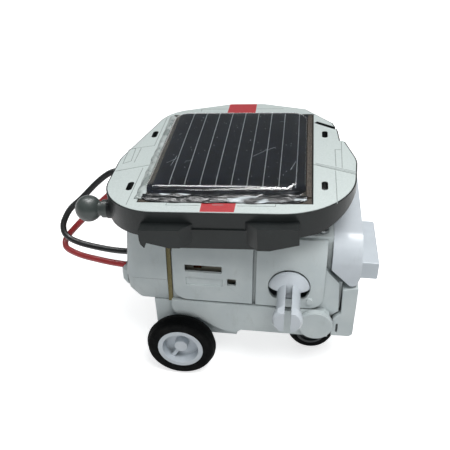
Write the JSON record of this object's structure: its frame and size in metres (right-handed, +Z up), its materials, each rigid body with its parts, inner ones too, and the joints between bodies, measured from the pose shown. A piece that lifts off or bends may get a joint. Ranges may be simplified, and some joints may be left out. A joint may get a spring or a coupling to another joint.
{
  "type": "solar robot kit",
  "caption": "Small solar-powered rolling robot: tilted solar panel on a white geared body with side drive pegs, big rear tyres and small front wheels.",
  "frame": {"origin": "on the ground under the middle of the body", "axes": "+X towards the coupler bar, -Y the side with the wide motor window, +Z up"},
  "size_m": [0.1045, 0.0928, 0.0664],
  "materials": {
    "white_shell": "satin moulded ABS",
    "bright_white": "satin moulded ABS",
    "grey_frame": "fine satin moulded ABS",
    "gear_plastic": "natural acetal",
    "steel": "bright drawn rod",
    "motor_steel": "plated can",
    "brass": "turned",
    "copper": "plated strip",
    "end_cap": "moulded nylon",
    "tyre": "matt rubber",
    "black_hub": "satin moulded",
    "contact_board": "bare phenolic board",
    "board": "laminate with masked face",
    "sticker": "printed vinyl, satin",
    "red_sticker": "printed vinyl, satin",
    "cell": "dark silicon",
    "cell_line": "printed silver",
    "resin": "clear cast resin",
    "red_wire": "pvc insulation",
    "black_wire": "pvc insulation"
  },
  "bodies": {
    "body": {"chassis": "white_shell", "roof": "white_shell", "front_motor_cover": "white_shell", "rear_motor_cover": "white_shell", "front_gear_cover": "white_shell", "rear_gear_cover": "white_shell", "terminal_box_upper": "white_shell", "terminal_box_lower": "white_shell", "wire_boss": "white_shell", "contact_board": "contact_board", "nose_upper": "bright_white", "nose_lower": "white_shell", "coupler_bar": "bright_white", "pivot_cap_front": "white_shell", "pivot_cap_rear": "white_shell", "inner_gear_plate": "white_shell", "outer_gear_plate": "white_shell", "gear_pins": "steel", "plate_screws": "steel", "roof_screws": "steel", "motor_can": "motor_steel", "motor_end_cap": "end_cap", "motor_bush": "brass", "motor_terminals": "copper", "motor_leads": "red_wire", "axle_bushes": "brass", "solar_mount": "grey_frame", "mount_screws": "steel", "solar_frame": "grey_frame", "ball_peg": "grey_frame", "frame_stickers": "sticker", "red_stickers": "red_sticker", "solar_board": "board", "solar_cell": "cell", "cell_lines": "cell_line", "clear_resin": "resin", "wire_clip": "grey_frame", "red_wire": "red_wire", "black_wire": "black_wire"},
    "motor_rotor": {"motor_shaft": "steel", "motor_pinion": "gear_plastic"},
    "first_gear": {"first_gear": "gear_plastic"},
    "second_gear": {"second_gear": "gear_plastic"},
    "idler_gear": {"idler_gear": "gear_plastic"},
    "output": {"output_gear": "gear_plastic", "output_shaft": "steel", "front_drive_dog": "bright_white", "rear_drive_dog": "bright_white"},
    "rear_wheels": {"axle_gear": "gear_plastic", "rear_axle": "steel", "front_wheel_hub": "bright_white", "rear_wheel_hub": "bright_white", "front_tyre": "tyre", "rear_tyre": "tyre"},
    "small_wheels": {"small_axle": "steel", "small_wheel_hubs": "black_hub", "small_tyres": "tyre"}
  },
  "joints": [
    {"name": "rear_axle_spin", "type": "hinge", "parent": "body", "child": "rear_wheels", "pos_m": [-0.0146, 0, 0.011], "axis": [0, 1, 0], "continuous": true},
    {"name": "idler_spin", "type": "hinge", "parent": "body", "child": "idler_gear", "pos_m": [-0.01227, 0, 0.01969], "axis": [0, 1, 0], "continuous": true},
    {"name": "first_gear_spin", "type": "hinge", "parent": "body", "child": "first_gear", "pos_m": [-0.005, 0, 0.025], "axis": [0, 1, 0], "continuous": true},
    {"name": "second_gear_spin", "type": "hinge", "parent": "body", "child": "second_gear", "pos_m": [0.00532, 0, 0.03206], "axis": [0, 1, 0], "continuous": true},
    {"name": "output_spin", "type": "hinge", "parent": "body", "child": "output", "pos_m": [0.0182, 0, 0.0338], "axis": [0, 1, 0], "continuous": true},
    {"name": "motor_spin", "type": "hinge", "parent": "body", "child": "motor_rotor", "pos_m": [-0.005, 0, 0.0365], "axis": [0, 1, 0], "continuous": true},
    {"name": "small_axle_spin", "type": "hinge", "parent": "body", "child": "small_wheels", "pos_m": [0.0263, 0, 0.0074], "axis": [0, 1, 0], "continuous": true}
  ],
  "couplings": [
    {"joint": "idler_spin", "follows": "rear_axle_spin", "ratio": -2},
    {"joint": "first_gear_spin", "follows": "rear_axle_spin", "ratio": 5.2},
    {"joint": "second_gear_spin", "follows": "rear_axle_spin", "ratio": -1.3},
    {"joint": "output_spin", "follows": "rear_axle_spin", "ratio": 0.39},
    {"joint": "motor_spin", "follows": "rear_axle_spin", "ratio": -18.72}
  ]
}
